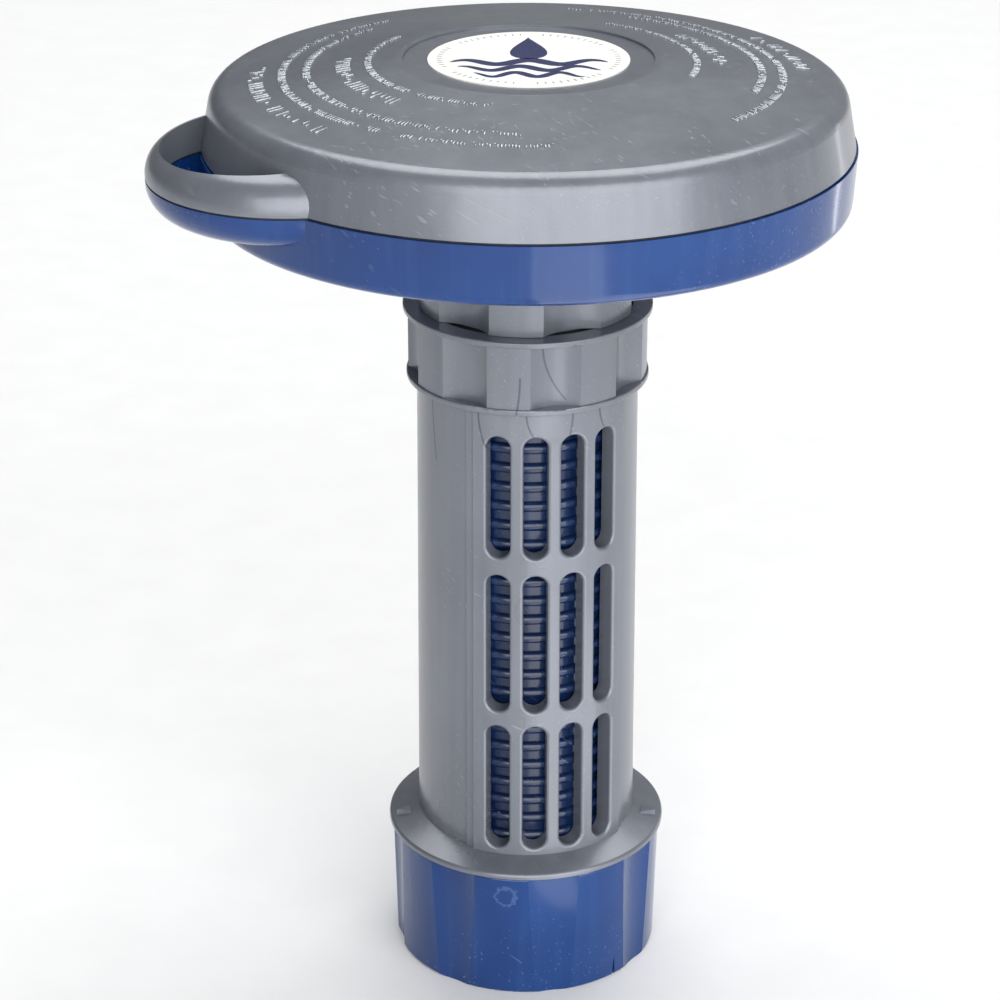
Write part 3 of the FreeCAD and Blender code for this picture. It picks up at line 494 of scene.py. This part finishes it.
def slab(work, loop, low, high, half_count=None):
    """A thin solid from a closed outline of (x, y) points. A strip gives half its count, so that
    its faces are quads across it."""
    bottom = [work.verts.new((x, y, low)) for x, y in loop]
    top = [work.verts.new((x, y, high)) for x, y in loop]
    count = len(loop)
    for i in range(count):
        j = (i + 1) % count
        work.faces.new((bottom[i], bottom[j], top[j], top[i]))
    if half_count is None:
        work.faces.new(top)
        work.faces.new(list(reversed(bottom)))
        return
    for i in range(half_count - 1):
        a, b, c, d = i, i + 1, count - 2 - i, count - 1 - i
        work.faces.new((top[a], top[b], top[c], top[d]))
        work.faces.new((bottom[d], bottom[c], bottom[b], bottom[a]))


def ribbon(work, centre_line, widths, low, high):
    """A flat strip of varying width along a line of (x, y) points, between two heights."""
    left, right = [], []
    for i, (x, y) in enumerate(centre_line):
        before = centre_line[max(i - 1, 0)]
        after = centre_line[min(i + 1, len(centre_line) - 1)]
        heading = Vector((after[0] - before[0], after[1] - before[1], 0)).normalized()
        side = Vector((-heading.y, heading.x, 0)) * widths[i] / 2
        left.append(Vector((x, y, 0)) + side)
        right.append(Vector((x, y, 0)) - side)
    loop = left + list(reversed(right))
    slab(work, [(p.x, p.y) for p in loop], low, high, len(left))


def label_waves(centre, radius, low, high):
    """Three waves across the lower half of the label, each with pointed ends."""
    work = bmesh.new()
    steps = 48
    for row, (reach, thick) in enumerate(WAVES):
        line, widths = [], []
        middle = (WAVE_TOP - WAVE_SPACING * row) * radius
        for i in range(steps + 1):
            share = i / steps
            x = (share * 2 - 1) * reach * radius
            y = middle + WAVE_SWING * radius * math.sin(share * math.pi * 5 + row)
            line.append((centre.x + x, centre.y + y))
            widths.append(max(radius * thick * math.sin(math.pi * share) ** 0.5, WAVE_TIP))
        ribbon(work, line, widths, low, high)
    piece("label_waves", work, ink_navy, "float")


def label_drop(centre, radius, low, high):
    """A water drop with a pointed top over the waves."""
    work = bmesh.new()
    outline = []
    steps = 56
    for i in range(steps):
        turn = 2 * math.pi * i / steps
        pinch = math.sin(turn / 2) ** 1.6
        x = DROP_HALF_WIDTH * radius * math.sin(turn) * pinch
        y = DROP_MIDDLE * radius + DROP_HALF_HEIGHT * radius * math.cos(turn)
        outline.append((centre.x + x, centre.y + y))
    slab(work, outline, low, high)
    piece("label_drop", work, ink_navy, "float")


def label_ticks(centre, radius, low, high):
    """A ring of fine ticks near the label's edge, in six groups of ten with small gaps."""
    work = bmesh.new()
    for index in range(72):
        if index % 12 in (0, 11):
            continue
        angle = index * 5.0
        start, end = polar_point(TICK_START * radius, angle), polar_point(TICK_END * radius, angle)
        line = [(centre.x + start.x, centre.y + start.y), (centre.x + end.x, centre.y + end.y)]
        ribbon(work, line, [TICK_WIDTH] * 2, low, high)
    piece("label_ticks", work, ink_grey, "float")


def label_print():
    """The label's print: a water drop over three waves, inside a ring of ticks."""
    low_corner, high_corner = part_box("label_disc")
    centre = (low_corner + high_corner) / 2
    radius = (high_corner.x - low_corner.x) / 2
    low, high = high_corner.z - PRINT_SUNK, high_corner.z + PRINT_RISE
    label_waves(centre, radius, low, high)
    label_drop(centre, radius, low, high)
    label_ticks(centre, radius, low, high)


raised_marks()
label_print()


# ---------------------------------------------------------------- stage, light and camera

def floor():
    """A wide pale floor just under the cap's foot."""
    work = bmesh.new()
    bmesh.ops.create_grid(work, x_segments=1, y_segments=1, size=FLOOR_REACH)
    mesh = bpy.data.meshes.new("floor")
    work.to_mesh(mesh)
    work.free()
    mesh.materials.append(floor_white())
    made = bpy.data.objects.new("floor", mesh)
    made.location.z = cad_box[0][2] - FLOOR_GAP
    bpy.context.scene.collection.objects.link(made)


def area_light(name, place, target, width, height, power):
    """A soft box that faces a target and doesn't show itself. Its power is in watts."""
    data = bpy.data.lights.new(name, "AREA")
    data.shape = "RECTANGLE"
    data.size, data.size_y = width, height
    data.energy = power
    made = bpy.data.objects.new(name, data)
    made.location = place
    made.rotation_euler = (Vector(target) - Vector(place)).to_track_quat("-Z", "Y").to_euler()
    made.visible_camera = False
    bpy.context.scene.collection.objects.link(made)


def surroundings():
    """A soft room, brightest on the -Y side and dim on the left, with a pale backdrop."""
    world = bpy.data.worlds.new("soft_room")
    world.use_nodes = True
    tree = world.node_tree
    split = tree.nodes.new("ShaderNodeSeparateXYZ")
    tree.links.new(tree.nodes.new("ShaderNodeTexCoord").outputs["Generated"], split.inputs[0])

    def share(letter, low, high, dim, bright):
        """A brightness that changes along one direction."""
        node = tree.nodes.new("ShaderNodeMapRange")
        node.interpolation_type = "SMOOTHSTEP"
        tree.links.new(split.outputs[letter], node.inputs["Value"])
        for socket, value in (("From Min", low), ("From Max", high),
                              ("To Min", dim), ("To Max", bright)):
            node.inputs[socket].default_value = value
        return node.outputs["Result"]

    total = tree.nodes.new("ShaderNodeMath")
    total.operation = "ADD"
    tree.links.new(share("X", *ROOM_ALONG_X), total.inputs[0])
    tree.links.new(share("Y", *ROOM_ALONG_Y), total.inputs[1])
    seen = tree.nodes.new("ShaderNodeMix")
    tree.links.new(tree.nodes.new("ShaderNodeLightPath").outputs["Is Camera Ray"], seen.inputs[0])
    tree.links.new(total.outputs[0], seen.inputs[2])
    seen.inputs[3].default_value = BACKDROP
    tree.links.new(seen.outputs[0], tree.nodes["Background"].inputs["Strength"])
    tree.nodes["Background"].inputs["Color"].default_value = (0.98, 0.99, 1.0, 1)
    bpy.context.scene.world = world


def camera():
    """The camera, higher than the float and looking down at it."""
    data = bpy.data.cameras.new("camera")
    data.lens = CAMERA_LENS
    data.sensor_width = 36.0
    data.clip_start = 0.01
    made = bpy.data.objects.new("camera", data)
    made.location = CAMERA_PLACE
    made.rotation_euler = (math.radians(CAMERA_TILT), 0, 0)
    bpy.context.scene.collection.objects.link(made)
    bpy.context.scene.camera = made


floor()
surroundings()
for light in LIGHTS:
    area_light(*light)
camera()
bpy.context.scene.view_settings.view_transform = "Standard"
